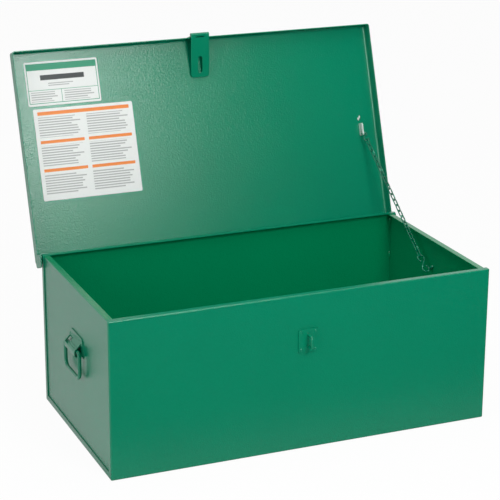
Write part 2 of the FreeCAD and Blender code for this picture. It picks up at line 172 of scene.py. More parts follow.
def near(value: float, target: float, slack: float = SLACK) -> bool:
    """Tell whether two lengths in millimetres are the same."""
    return abs(value - target) < slack


def shift(obj: Object, wanted: Test, offset: Sequence[float]) -> None:
    """Move some of a mesh's vertices, and stay in edit mode.

    Args:
        obj: The object to edit.
        wanted: Says of a vertex's place, in millimetres, whether it moves.
        offset: The move in millimetres.
    """
    pick(obj, Pick.VERT, wanted)
    bpy.ops.transform.translate(value=[value * MM for value in offset])


def split(obj: Object, wanted: Test, place: Sequence[float],
          normal: Sequence[float]) -> None:
    """Split some of a mesh's faces along a plane, and stay in edit mode.

    Args:
        obj: The object to edit.
        wanted: Says of a face's centre, in millimetres, whether it is split.
        place: A point of the plane in millimetres.
        normal: The plane's normal.
    """
    pick(obj, Pick.FACE, wanted)
    bpy.ops.mesh.bisect(plane_co=[value * MM for value in place], plane_no=normal)


def extrude(offset: Sequence[float]) -> None:
    """Extrude the selection by an offset in millimetres."""
    bpy.ops.mesh.extrude_region_move(
        TRANSFORM_OT_translate={"value": [value * MM for value in offset]})


def bend(radius: float, steps: int = 4) -> None:
    """Round the selected edges to a bend radius in millimetres."""
    bpy.ops.mesh.bevel(offset=radius * MM, segments=steps, affect="EDGES", clamp_overlap=True)


def apply_modifier(obj: Object, kind: str, **values: object) -> None:
    """Add a modifier, set its values and apply it.

    Args:
        obj: The object to change.
        kind: Blender's name of the modifier type.
        **values: Settings by name.
    """
    take(obj)
    modifier = obj.modifiers.new(kind.title(), kind)
    for key, value in values.items():
        setattr(modifier, key, value)
    bpy.ops.object.modifier_apply(modifier=modifier.name)


def subtract(obj: Object, cutter: Object) -> None:
    """Cut one piece out of another and delete the cutter."""
    apply_modifier(obj, "BOOLEAN", operation="DIFFERENCE", object=cutter, solver="EXACT")
    bpy.data.objects.remove(cutter)


def outward(obj: Object) -> None:
    """Merge doubles and point all faces outwards.

    Args:
        obj: The object to mend.
    """
    edit_all(obj)
    bpy.ops.mesh.remove_doubles(threshold=MERGE)
    bpy.ops.mesh.normals_make_consistent(inside=False)
    done()


def flip(skin: Object) -> None:
    """Turn all faces over.

    Args:
        skin: The open skin to turn.
    """
    edit_all(skin)
    bpy.ops.mesh.flip_normals()
    done()


def soften(obj: Object, width: float, steps: int = 2, angle: float = 32.0) -> None:
    """Break the sharp edges and shade the curved parts smooth.

    Args:
        obj: The finished shape.
        width: Width of the broken edge in millimetres.
        steps: Segments across it.
        angle: Edges sharper than this many degrees are broken.
    """
    apply_modifier(obj, "BEVEL", width=width * MM, segments=steps, limit_method="ANGLE",
                   angle_limit=math.radians(angle), harden_normals=False, miter_outer="MITER_ARC")
    take(obj)
    bpy.ops.object.shade_smooth_by_angle(angle=math.radians(angle))
    # The wide flat faces keep their own normals, or their gloss shows a false band.
    apply_modifier(obj, "WEIGHTED_NORMAL", mode="FACE_AREA", weight=100, keep_sharp=True)


def smooth(obj: Object) -> None:
    """Shade a whole piece smooth."""
    take(obj)
    bpy.ops.object.shade_smooth()


def thicken(obj: Object, sheet: float) -> None:
    """Give an open skin its sheet thickness, inwards from its faces."""
    apply_modifier(obj, "SOLIDIFY", thickness=sheet * MM, offset=-1.0, use_even_offset=True,
                   use_rim=True)


def cad_copy(node: str, name: str) -> Object:
    """Copy a CAD node's mesh, merged and with its flat faces whole.

    Args:
        node: The CAD node.
        name: The new piece's name.

    Returns:
        The copy, at the origin.
    """
    source = frame["nodes"][node]
    deselect_all()
    mesh = source.data.copy()
    mesh.transform(source.matrix_world)
    obj = bpy.data.objects.new(name, mesh)
    bpy.context.scene.collection.objects.link(obj)
    mesh.materials.clear()
    edit_all(obj)
    bpy.ops.mesh.remove_doubles(threshold=MERGE)
    bpy.ops.mesh.dissolve_limited(angle_limit=math.radians(1.0))
    done()
    return obj


def joined(pieces: Sequence[Object], name: str) -> Object:
    """Join pieces into one object.

    Args:
        pieces: The pieces, which are used up.
        name: The new object's name.

    Returns:
        The joined object.
    """
    deselect_all()
    for piece in pieces:
        piece.select_set(True)
    bpy.context.view_layer.objects.active = pieces[0]
    bpy.ops.object.join()
    return named(name)


def copied(obj: Object, name: str, matrix: Matrix) -> Object:
    """Copy a piece with its own mesh.

    Args:
        obj: The piece.
        name: The copy's name.
        matrix: A move that goes into the copy's mesh.

    Returns:
        The copy, at the origin.
    """
    twin = obj.copy()
    twin.data = obj.data.copy()
    twin.name = name
    bpy.context.scene.collection.objects.link(twin)
    twin.data.transform(matrix)
    return twin


def bead(name: str, place: Vector, size: Sequence[float], seed: int) -> Object:
    """Lay one uneven bead of weld.

    Args:
        name: The bead's name.
        place: Its middle in millimetres.
        size: Half sizes in millimetres.
        seed: Picks the grain of the unevenness.

    Returns:
        The bead.
    """
    deselect_all()
    bpy.ops.mesh.primitive_ico_sphere_add(subdivisions=4, radius=1, location=place * MM)
    bpy.context.object.scale = [value * MM for value in size]
    made = named(name)
    grain, step, ripple = 4.5, 0.4, 1.3
    texture = bpy.data.textures.new(name, "CLOUDS")
    texture.noise_scale = (grain + step * (seed % 3)) * MM
    apply_modifier(made, "DISPLACE", texture=texture, strength=ripple * MM, mid_level=0.5,
                   texture_coords="LOCAL")
    smooth(made)
    return made


# Finishes
class Graph:
    """A small helper round the node tree of a material or a world."""

    def __init__(self, owner: Material | World, shader: str = "Principled BSDF") -> None:
        """Open the node tree.

        Args:
            owner: A new material or world.
            shader: Name of the shader that it comes with.
        """
        owner.use_nodes = True
        self.owner = owner
        self.tree = owner.node_tree
        self.shader = self.tree.nodes[shader]

    def feed(self, target: NodeSocket, value: Value) -> None:
        """Link an input, or set its number or colour.

        Args:
            target: The input.
            value: A socket, a number or RGB numbers.
        """
        if isinstance(value, NodeSocket):
            self.tree.links.new(value, target)
        elif isinstance(value, (int, float)):
            target.default_value = value
        else:
            target.default_value = (*value, 1.0)

    def node(self, kind: str, feeds: dict[int | str, Value] | None = None,
             **values: object) -> Node:
        """Add a node.

        Args:
            kind: Blender's name of the node type.
            feeds: What its inputs take, by their names or places.
            **values: Its properties by name.

        Returns:
            The node.
        """
        made = self.tree.nodes.new(kind)
        for key, value in values.items():
            setattr(made, key, value)
        for key, value in (feeds or {}).items():
            self.feed(made.inputs[key], value)
        return made

    def place(self, kind: str = "Object") -> NodeSocket:
        """Give a texture coordinate."""
        return self.node("ShaderNodeTexCoord").outputs[kind]

    def axes(self, kind: str = "Object") -> Sequence[NodeSocket]:
        """Give a texture coordinate's X, Y and Z."""
        return self.node("ShaderNodeSeparateXYZ", {0: self.place(kind)}).outputs

    def noise(self, scale: float, detail: float = 3.0, roughness: float = 0.5,
              stretch: Sequence[float] = (1, 1, 1)) -> NodeSocket:
        """Give a noise value on Object coordinates.

        Args:
            scale: Cells in each metre.
            detail: Octaves.
            roughness: Weight of the finer octaves.
            stretch: Scale of each axis.

        Returns:
            The noise's factor socket.
        """
        mapping = self.node("ShaderNodeMapping", {"Vector": self.place()})
        mapping.inputs["Scale"].default_value = stretch
        return self.node("ShaderNodeTexNoise", {
            "Vector": mapping.outputs["Vector"], "Scale": scale, "Detail": detail,
            "Roughness": roughness}).outputs["Fac"]

    def spread(self, value: NodeSocket, low: float, high: float,
               start: float = 0.0, end: float = 1.0) -> NodeSocket:
        """Map a value's range to another, clamped.

        Args:
            value: The socket to map.
            low: Result at the range's start.
            high: Result at its end.
            start: Where the range starts.
            end: Where it ends.

        Returns:
            The mapped value's socket.
        """
        return self.node("ShaderNodeMapRange", {
            "Value": value, "From Min": start, "From Max": end, "To Min": low,
            "To Max": high}).outputs["Result"]

    def math(self, operation: str, first: Value, second: Value = 0.0,
             third: Value = 0.0) -> NodeSocket:
        """Combine up to three values, each a socket or a number."""
        return self.node("ShaderNodeMath", {0: first, 1: second, 2: third},
                         operation=operation).outputs[0]

    def within(self, value: NodeSocket, low: float, high: float) -> NodeSocket:
        """Give 1 where a value lies between two numbers, else 0."""
        middle = self.math("ABSOLUTE", self.math("SUBTRACT", value, (low + high) / 2))
        return self.math("LESS_THAN", middle, (high - low) / 2)

    def blend(self, amount: Value, below: Value, above: Value) -> NodeSocket:
        """Mix two colours, each a socket or RGB numbers, by an amount."""
        return self.node("ShaderNodeMix", {0: amount, 6: below, 7: above},
                         data_type="RGBA").outputs[2]

    def tint(self, colour: Value, strength: NodeSocket) -> NodeSocket:
        """Make a colour lighter or darker."""
        return self.node("ShaderNodeHueSaturation",
                         {"Color": colour, "Value": strength}).outputs["Color"]

    def shade(self, **values: Value) -> None:
        """Feed the shader's inputs by name, with _ for a space."""
        for key, value in values.items():
            self.feed(self.shader.inputs[key.replace("_", " ")], value)

    def bumps(self, *layers: tuple[NodeSocket, float, float]) -> None:
        """Stack bump layers on the shader.

        Args:
            *layers: Height, strength and distance in metres of each.
        """
        below = {}
        for height, strength, distance in layers:
            bump = self.node("ShaderNodeBump", {
                "Height": height, "Strength": strength, "Distance": distance, **below})
            below = {"Normal": bump.outputs["Normal"]}
        self.shade(**below)


@dataclass(frozen=True)
class Enamel:
    """Baked gloss enamel over sheet steel: orange peel and faint scuffs."""

    name: str
    colour: Rgb = (0.0, 0.232, 0.122)
    # Greener colour inside the chest's hollow: painted light, standing in for how light falls in
    # there.
    painted_hollow_tone: Rgb = (0.0, 0.248, 0.098)
    # Colour of the sparse specks: real scuffs on the chest, painted glints on the chain.
    scuff_and_glint_colour: Rgb = (0.10, 0.31, 0.22)
    cloud_scale: float = 5.5
    cloud_range: Pair = (0.95, 1.05)
    mottle_scale: float = 190.0
    mottle_range: Pair = (0.93, 1.07)
    peel: float = 1.0
    peel_scale: float = 330.0
    peel_depth: float = 0.0004
    grit_scale: float = 900.0
    grit_depth: float = 0.00015
    bump_strength: float = 0.9
    roughness: float = 0.18
    smoother: float = 0.04
    rougher: float = 0.06
    hollow: Triple = (0.0, 0.0, 0.0)
    scuff_and_glint_scale: float = 38.0
    scuff_and_glint_stretch: Triple = (1.0, 1.0, 0.35)
    scuff_and_glint_most: float = 0.25
    scuff_and_glint_start: float = 0.74
    scuff_and_glint_range: float = 0.1

    def painted_tone_mask(self, graph: Graph) -> NodeSocket:
        """Find the inside of the hollow, where the enamel takes its painted light tone.

        Args:
            graph: The material being built.

        Returns:
            A value of 1 where the surface lies in the hollow.
        """
        half_x, half_y, top = self.hollow
        x, y, z = graph.axes()
        across = graph.math("LESS_THAN", graph.math("ABSOLUTE", x), half_x)
        along = graph.math("LESS_THAN", graph.math("ABSOLUTE", y), half_y)
        below = graph.math("LESS_THAN", z, top)
        return graph.math("MULTIPLY", graph.math("MULTIPLY", across, along), below)

    def material(self) -> Material:
        """Build the enamel's node material.

        Returns:
            The material, mottled, with its orange peel, its scuffs, which on the chain are
            painted glints, and inside the hollow its painted light tone.
        """
        graph = Graph(bpy.data.materials.new(self.name))
        cloudy = graph.spread(graph.noise(self.cloud_scale), *self.cloud_range)
        mottled = graph.spread(graph.noise(self.mottle_scale, roughness=0.6), *self.mottle_range)
        base = self.colour
        # Inside the hollow the same enamel takes a second colour, which is painted light.
        if self.hollow[0]:
            base = graph.blend(self.painted_tone_mask(graph), self.colour, self.painted_hollow_tone)
        toned = graph.tint(base, graph.math("MULTIPLY", cloudy, mottled))
        # Specks of a lighter colour: scuffs, which on the chain are painted glints.
        scuff_and_glint_noise = graph.noise(self.scuff_and_glint_scale, 6.0, 0.72, self.scuff_and_glint_stretch)
        scuff_and_glint_mask = graph.spread(scuff_and_glint_noise, 0.0, self.scuff_and_glint_most, self.scuff_and_glint_start,
                             self.scuff_and_glint_start + self.scuff_and_glint_range)
        rough = graph.spread(graph.noise(60.0, 4.0), self.roughness - self.smoother,
                             self.roughness + self.rougher)
        graph.shade(Base_Color=graph.blend(scuff_and_glint_mask, toned, self.scuff_and_glint_colour), Roughness=rough, IOR=1.5)
        strength = self.bump_strength * self.peel
        graph.bumps((graph.noise(self.peel_scale, 2.0, 0.45), strength, self.peel_depth),
                    (graph.noise(self.grit_scale, 1.0), strength, self.grit_depth))
        return graph.owner


@dataclass(frozen=True)
class BareSteel:
    """Bright drawn steel, lightly oxidised."""

    name: str
    colour: Rgb = (0.56, 0.57, 0.55)
    oxide: Rgb = (0.25, 0.24, 0.22)
    oxide_most: float = 0.55
    oxide_range: Pair = (0.45, 0.75)
    roughness: float = 0.28
    rougher: float = 0.2
    drawn: Triple = (6.0, 1.0, 1.0)

    def material(self) -> Material:
        """Build the steel's node material.

        Returns:
            The material, stained and with its drawing lines.
        """
        graph = Graph(bpy.data.materials.new(self.name))
        stain = graph.spread(graph.noise(120.0, 5.0, 0.65), 0.0, self.oxide_most,
                             *self.oxide_range)
        rough = graph.spread(graph.noise(300.0, 4.0), self.roughness,
                             self.roughness + self.rougher)
        graph.shade(Base_Color=graph.blend(stain, self.colour, self.oxide), Roughness=rough,
                    Metallic=1.0)
        graph.bumps((graph.noise(900.0, 3.0, 0.6, self.drawn), 0.25, 0.0001))
        return graph.owner


@dataclass(frozen=True)
class Bar:
    """One printed rectangle on a card, in millimetres from its lower left corner."""

    left: float
    right: float
    bottom: float
    top: float
    ink: Rgb

    def mask(self, graph: Graph, across: NodeSocket, up: NodeSocket) -> NodeSocket:
        """Give 1 inside the rectangle, else 0."""
        return graph.math("MULTIPLY", graph.within(across, self.left, self.right),
                          graph.within(up, self.bottom, self.top))


@dataclass(frozen=True)
class Rules(Bar):
    """A block of plain grey rules, each of its own length."""

    ink: Rgb = (0.16, 0.17, 0.17)
    pitch: float = 5.0
    strength: float = 0.62
    gap: float = 0.52
    shortest: float = 0.70
    longer: float = 0.28
    shuffle: Pair = (12.9, 43.7)

    def mask(self, graph: Graph, across: NodeSocket, up: NodeSocket) -> NodeSocket:
        """Find where the rules lie.

        Args:
            graph: The material being built.
            across: Millimetres from the card's left edge.
            up: Millimetres from its foot.

        Returns:
            How much of the ink each place takes.
        """
        rows = graph.math("DIVIDE", up, self.pitch)
        shuffled = graph.math("SINE", graph.math("MULTIPLY", graph.math("FLOOR", rows),
                                                 self.shuffle[0]))
        ragged = graph.math("FRACT", graph.math("MULTIPLY", shuffled, self.shuffle[1]))
        width = self.right - self.left
        reach = graph.math("MULTIPLY_ADD", ragged, width * self.longer,
                           self.left + width * self.shortest)
        line = graph.math("GREATER_THAN", graph.math("FRACT", rows), self.gap)
        line = graph.math("MULTIPLY", line, graph.math("LESS_THAN", across, reach))
        line = graph.math("MULTIPLY", line, super().mask(graph, across, up))
        return graph.math("MULTIPLY", line, self.strength)


@dataclass(frozen=True)
class PrintedCard:
    """White printed film with coloured bars and blocks of plain grey rules."""

    name: str
    left: float
    foot: float
    marks: tuple[Bar, ...]
    paper: Rgb = (0.80, 0.83, 0.81)
    grain_scale: float = 260.0
    grain_range: Pair = (0.965, 1.02)

    def material(self) -> Material:
        """Build the card's node material from its marks, the first one lowest.

        Returns:
            The material, for the card where it stands on the open lid.
        """
        graph = Graph(bpy.data.materials.new(self.name))
        lid = Lid()
        x, _, z = graph.axes()
        across = graph.math("SUBTRACT", graph.math("MULTIPLY", x, 1 / MM), self.left)
        level = graph.math("MULTIPLY", z, 1 / MM / math.cos(lid.lean))
        up = graph.math("SUBTRACT", level, lid.hinge_z / math.cos(lid.lean)
                        - math.tan(lid.lean) * lid.card_stand + self.foot)
        grain = graph.spread(graph.noise(self.grain_scale), *self.grain_range)
        colour = graph.tint(self.paper, grain)
        for mark in self.marks:
            colour = graph.blend(mark.mask(graph, across, up), colour, mark.ink)
        graph.shade(Base_Color=colour, Roughness=0.42, IOR=1.4)
        graph.bumps((graph.noise(420.0, 2.0), 0.12, 0.00015))
        return graph.owner


def dress(obj: Object, material: Material) -> None:
    """Give a piece one material all over."""
    obj.data.materials.clear()
    obj.data.materials.append(material)


def dress_node(node: str, material: Material) -> None:
    """Give a CAD node one material in all its slots.

    Args:
        node: The CAD node.
        material: Its material.
    """
    obj = frame["nodes"][node]
    if not obj.material_slots:
        obj.data.materials.append(material)
    for slot in obj.material_slots:
        slot.material = material


def fit(obj: Object, body: str, slot: str, material: Material,
        *nodes: str) -> None:
    """Dress a new piece, set it on its body and let it stand for CAD nodes.

    Args:
        obj: The finished piece.
        body: The body it rides on.
        slot: The record's slot; it is not used.
        material: Its material.
        *nodes: CAD nodes it replaces.
    """
    dress(obj, material)
    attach(obj, body)
    if nodes:
        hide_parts(*nodes)
    log.info("piece %s on %s: %d faces", obj.name, body, len(obj.data.polygons))


# The chest
@dataclass
class ChestBody:
    """The open chest: a wrapped sheet with flanged ends, and two end panels."""

    length: float = 762.0
    depth: float = 406.4
    height: float = 304.8
    sheet: float = 1.9
    bend_radius: float = 2.8
    flange: float = 12.7
    panel_side_gap: float = 0.2
    weld_drops: tuple[float, ...] = (18.8, 94.8, 176.8, 256.8)
    weld_inset: float = 1.7
    weld_half: float = 2.5
    weld_half_length: float = 7.0

    def wrap(self) -> Object:
        """Fold front, bottom and back from one skin, with its flanges turned in.

        Returns:
            The wrapped sheet.
        """
        x, y, z = self.length / 2, self.depth / 2, self.height
        wrap = block("chest_wrap", (-x, -y, 0), (x, y, z))
        pick(wrap, Pick.FACE, lambda c: near(c.z, z))
        bpy.ops.mesh.delete(type="ONLY_FACE")
        for side in (-1, 1):
            pick(wrap, Pick.FACE, lambda c: near(c.x, side * x))
            bpy.ops.mesh.inset(thickness=self.flange * MM, use_boundary=True)
            bpy.ops.mesh.delete(type="ONLY_FACE")
            pick(wrap, Pick.FACE, lambda c: near(c.x, side * x) and c.z > z - self.flange)
            bpy.ops.mesh.delete(type="FACE")
        shift(wrap, lambda c: near(c.z, z - self.flange), (0, 0, self.flange))
        for side in (-1, 1):
            pick(wrap, Pick.EDGE, lambda c: near(c.z, z) and near(c.y, side * y) and near(c.x, 0))
            extrude((0, -side * self.flange, 0))
        done()
        outward(wrap)
        pick(wrap, Pick.EDGE, lambda c: (near(abs(c.y), y) and (near(c.z, 0) or near(c.z, z))
                                         or near(abs(c.x), x) and near(abs(c.y), y)
                                         or near(abs(c.x), x) and near(c.z, 0)))
        bend(self.bend_radius)
        done()
        outward(wrap)
        floor = min(wrap.data.polygons, key=lambda face: face.center.z - face.area)
        if floor.normal.z > 0:
            flip(wrap)
        thicken(wrap, self.sheet)
        soften(wrap, SHEET_EDGE)
        return wrap

    def end_panel(self, side: int) -> Object:
        """Cut one end panel and turn its rim in.

        Args:
            side: -1 for the left end, 1 for the right.

        Returns:
            The panel.
        """
        outer = self.length / 2 - self.sheet
        half = self.depth / 2 - self.sheet - self.panel_side_gap
        top = self.height - self.sheet
        xs = sorted((side * outer, side * (outer - self.sheet)))
        panel = block("end_panel_%s_sheet" % ("right" if side > 0 else "left"),
                      (xs[0], -half, self.sheet), (xs[1], half, top))
        split(panel, lambda c: True, (0, 0, top - self.sheet), ALONG_Z)
        pick(panel, Pick.FACE, lambda c: near(c.x, side * (outer - self.sheet))
             and c.z > top - self.sheet)
        extrude((-side * (self.flange - self.sheet), 0, 0))
        pick(panel, Pick.EDGE, lambda c: near(c.x, side * outer) and near(c.z, top))
        bend(self.bend_radius)
        done()
        outward(panel)
        soften(panel, SHEET_EDGE)
        return panel

    def tacks(self) -> Object:
        """Lay four uneven welds up each inner corner, sunk a little into both sheets.

        Returns:
            The welds as one piece.
        """
        inner_x = self.length / 2 - 2 * self.sheet - self.weld_inset
        inner_y = self.depth / 2 - self.sheet - self.weld_inset
        beads = []
        for side_x in (-1, 1):
            for side_y in (-1, 1):
                for index, drop in enumerate(self.weld_drops):
                    place = Vector((side_x * inner_x, side_y * inner_y, self.height - drop))
                    # Every second weld is a millimetre longer each way.
                    size = (self.weld_half, self.weld_half, self.weld_half_length + index % 2)
                    beads.append(bead("bead", place, size, len(beads)))
        return joined(beads, "corner_tacks")

    def build(self, paint: Material) -> None:
        """Build and place the chest's body.

        Args:
            paint: The chest's enamel.
        """
        fit(self.wrap(), "box", "enamel", paint, "body_wrap")
        for side, node in ((-1, "end_panel_left"), (1, "end_panel_right")):
            fit(self.end_panel(side), "box", "enamel", paint, node)
        fit(self.tacks(), "box", "enamel", paint, "corner_welds")


@dataclass
class Lid:
    """The lid pan, open and leaning back, with its two printed cards."""

    half_length: float = 386.0
    front_y: float = -209.1
    back_y: float = 207.6
    top_z: float = 307.1
    lip: float = 25.0
    sheet: float = 1.9
    bend_radius: float = 4.6
    ear_drop: float = 19.0
    ear_back: float = 7.6
    ear_length: float = 18.0
    ear_round: float = 7.5
    relief_depth: float = 7.0
    relief_height: float = 1.5
    relief_drop: float = 6.0
    hinge_y: float = 208.0
    hinge_z: float = 282.1
    hinge_clear: float = 4.8
    open_angle: float = 109.0
    card_sheet: float = 0.4

    @property
    def lean(self) -> float:
        """Angle of the open lid from upright, in radians."""
        return math.radians(self.open_angle - 90.0)

    @property
    def card_stand(self) -> float:
        """Distance of the cards' face from the hinge axis, square to the lid."""
        return self.top_z - self.sheet - self.card_sheet - self.hinge_z

    def opened(self) -> Matrix:
        """Turn the shut lid open about its hinge.

        Returns:
            The turn's matrix.
        """
        axis = Vector((0, self.hinge_y, self.hinge_z)) * MM
        turn = Matrix.Rotation(-math.radians(self.open_angle), 4, "X")
        return Matrix.Translation(axis) @ turn @ Matrix.Translation(-axis)

    def pan(self) -> Object:
        """Fold the pan shut, cut its back lip for the hinge, and turn it open.

        Returns:
            The open pan.
        """
        bottom = self.top_z - self.lip
        pan = block("lid_sheet", (-self.half_length, self.front_y, bottom),
                    (self.half_length, self.back_y, self.top_z))
        pick(pan, Pick.FACE, lambda c: near(c.z, bottom))
        bpy.ops.mesh.delete(type="ONLY_FACE")
        cut = self.hinge_z + self.hinge_clear
        split(pan, lambda c: near(c.y, self.back_y), (0, 0, cut), ALONG_Z)
        pick(pan, Pick.FACE, lambda c: near(c.y, self.back_y) and c.z < cut)
        bpy.ops.mesh.delete(type="FACE")
        self.ears(pan, bottom)
        relief_top = self.top_z - self.relief_drop
        pick(pan, Pick.EDGE, lambda c: (
            near(c.z, self.top_z)
            or near(abs(c.x), self.half_length)
            and (near(c.y, self.front_y) or near(c.y, self.back_y) and c.z > relief_top)))
        bend(self.bend_radius)
        done()
        outward(pan)
        if max(pan.data.polygons, key=lambda face: face.area).normal.z < 0:
            flip(pan)
        thicken(pan, self.sheet)
        soften(pan, SHEET_EDGE)
        pan.data.transform(self.opened())
        return pan

    def ears(self, pan: Object, bottom: float) -> None:
        """Draw the side lips out at the hinge end into ears with round corners.

        The back lip stops short of the ears, and a relief slot parts each ear from its bend.

        Args:
            pan: The pan's open skin, still shut.
            bottom: Height of the lips' edge.
        """
        def on_side(c: Vector) -> bool:
            """Tell whether a place lies on a side lip."""
            return near(abs(c.x), self.half_length)

        def on_back(c: Vector) -> bool:
            """Tell whether a place lies on the back lip."""
            return near(c.y, self.back_y)

        start = self.back_y - self.ear_length
        slot_start = self.back_y - self.relief_depth
        slot_top = self.top_z - self.relief_drop
        slot_low = slot_top - self.relief_height
        lip_end = self.half_length - self.relief_depth
        split(pan, on_side, (0, start, 0), ALONG_Y)
        split(pan, on_side, (0, slot_start, 0), ALONG_Y)
        split(pan, on_side, (0, 0, slot_low), ALONG_Z)
        split(pan, on_side, (0, 0, slot_top), ALONG_Z)
        split(pan, on_back, (lip_end, 0, 0), ALONG_X)
        split(pan, on_back, (-lip_end, 0, 0), ALONG_X)
        split(pan, on_back, (0, 0, slot_top), ALONG_Z)
        pick(pan, Pick.FACE, lambda c: c.z < slot_top
             and (on_side(c) and c.y > slot_start and c.z > slot_low
                  or on_back(c) and abs(c.x) > lip_end))
        bpy.ops.mesh.delete(type="FACE")
        for side in (-1, 1):
            pick(pan, Pick.EDGE, lambda c: near(c.x, side * self.half_length)
                 and near(c.z, bottom) and c.y > start)
            extrude((0, 0, -self.ear_drop))
            pick(pan, Pick.EDGE, lambda c: near(c.x, side * self.half_length)
                 and on_back(c) and c.z < slot_low)
            extrude((0, self.ear_back, 0))
        low = bottom - self.ear_drop
        back = self.back_y + self.ear_back
        pick(pan, Pick.VERT, lambda c: on_side(c)
             and (near(c.z, low) and (near(c.y, start) or near(c.y, back))
                  or near(c.z, slot_low) and near(c.y, back)))
        bpy.ops.mesh.bevel(offset=self.ear_round * MM, segments=6, affect="VERTICES")

    def build(self, paint: Material) -> None:
        """Build the lid and dress its cards.

        Args:
            paint: The lid's enamel.
        """
        fit(self.pan(), "lid", "enamel", paint, "lid_pan")
        green, orange, dark = (0.01, 0.30, 0.16), (0.85, 0.24, 0.03), (0.03, 0.04, 0.04)
        upper = PrintedCard("upper_card_print", left=-360.5, foot=308.6, marks=(
            Rules(45, 105, 36, 44, pitch=4.0), Rules(8, 66, 8, 27, pitch=4.6),
            Rules(76, 142, 8, 27, pitch=4.6),
            Bar(3, 147, 70, 83, green), Bar(3, 4.4, 4, 83, green),
            Bar(145.6, 147, 4, 83, green), Bar(3, 147, 4, 5.4, green),
            Bar(3, 147, 30, 31, green), Bar(70, 71, 5, 30, green), Bar(30, 120, 50, 60, dark)))
        lower = PrintedCard("lower_card_print", left=-353.0, foot=121.6, marks=(
            Rules(8, 98, 124, 164), Rules(107, 197, 124, 164), Rules(8, 98, 68, 108),
            Rules(107, 197, 68, 108), Rules(8, 98, 10, 52), Rules(107, 197, 10, 52),
            Bar(8, 197, 168, 175, orange), Bar(8, 98, 112, 118, orange),
            Bar(107, 197, 112, 118, orange), Bar(8, 98, 56, 62, orange),
            Bar(107, 197, 56, 62, orange)))
        dress_node("label_upper", upper.material())
        dress_node("label_lower", lower.material())


@dataclass
class Hardware:
    """Hinge, hasp, staple and handles: machined copies of the solids with broken edges."""

    pieces: tuple[tuple[str, str, float], ...] = (
        ("hinge_body_leaf", "box", 0.25), ("hinge_lid_leaf", "lid", 0.25),
        ("hasp_leaf", "lid", 0.35), ("hasp_plate", "hasp", 0.35),
        ("staple_plate", "box", 0.4), ("handle_left_mount", "box", 0.4),
        ("handle_right_mount", "box", 0.4))
    painted: tuple[str, ...] = (
        "staple_loop", "staple_rivets", "handle_left_rivets", "handle_right_rivets",
        "hasp_pin", "chain_wall_eye")
    hood_middle: float = 191.0
    hood_deeper: float = 5.0
    window_low: Triple = (383.5, -3.0, 194.0)
    window_high: Triple = (399.0, 15.5, 206.5)
    groove_places: tuple[Pair, ...] = ((391.6, 197.3), (388.7, 200.2))
    groove_radius: float = 0.8
    groove_ends: Pair = (-44.0, -4.5)
    bail_middle: float = -12.0
    bail_wider: float = 5.0
    bail_low: float = 165.0
    bail_longer: float = 4.0
    sharp_angle: float = 30.0

    def open_hood(self, mount: Object, side: int) -> None:
        """Deepen a handle's hood, cut its window at the back and press its two grooves.

        Args:
            mount: The handle's plate with its hood.
            side: -1 for the left end, 1 for the right.
        """
        shift(mount, lambda c: c.z < self.hood_middle, (0, 0, -self.hood_deeper))
        done()
        low, high = self.window_low, self.window_high
        near_x, far_x = sorted((side * low[0], side * high[0]))
        cutters = [block("window", (near_x, *low[1:]), (far_x, *high[1:]))]
        middle = sum(self.groove_ends) / 2
        length = self.groove_ends[1] - self.groove_ends[0]
        for x, z in self.groove_places:
            deselect_all()
            bpy.ops.mesh.primitive_cylinder_add(
                vertices=12, radius=self.groove_radius * MM, depth=length * MM,
                rotation=(math.pi / 2, 0, 0), location=Vector((side * x, middle, z)) * MM)
            cutters.append(named("groove"))
        for cutter in cutters:
            subtract(mount, cutter)

    def bail(self, side: str) -> Object:
        """Widen and lengthen one handle's bail so that its back bend clears the hood.

        Args:
            side: The end of the chest, left or right.

        Returns:
            The bail's wire.
        """
        node = "handle_%s_bail" % side
        wire = cad_copy(node, node + "_wire")
        shift(wire, lambda c: c.y > self.bail_middle, (0, self.bail_wider, 0))
        shift(wire, lambda c: c.z < self.bail_low, (0, 0, -self.bail_longer))
        done()
        smooth(wire)
        return wire

    def build(self, paint: Material, steel: Material) -> None:
        """Break the edges of the plates and paint the rest.

        Args:
            paint: The small parts' enamel.
            steel: The hinge pin's bare steel.
        """
        for node, body, width in self.pieces:
            copy = cad_copy(node, node + "_piece")
            if node.startswith("handle"):
                self.open_hood(copy, 1 if "right" in node else -1)
            soften(copy, width, angle=self.sharp_angle)
            fit(copy, body, "enamel", paint, node)
        for side in ("left", "right"):
            fit(self.bail(side), "handle_" + side, "enamel", paint, "handle_%s_bail" % side)
        for node in self.painted:
            dress_node(node, paint)
        dress_node("hinge_pin", steel)


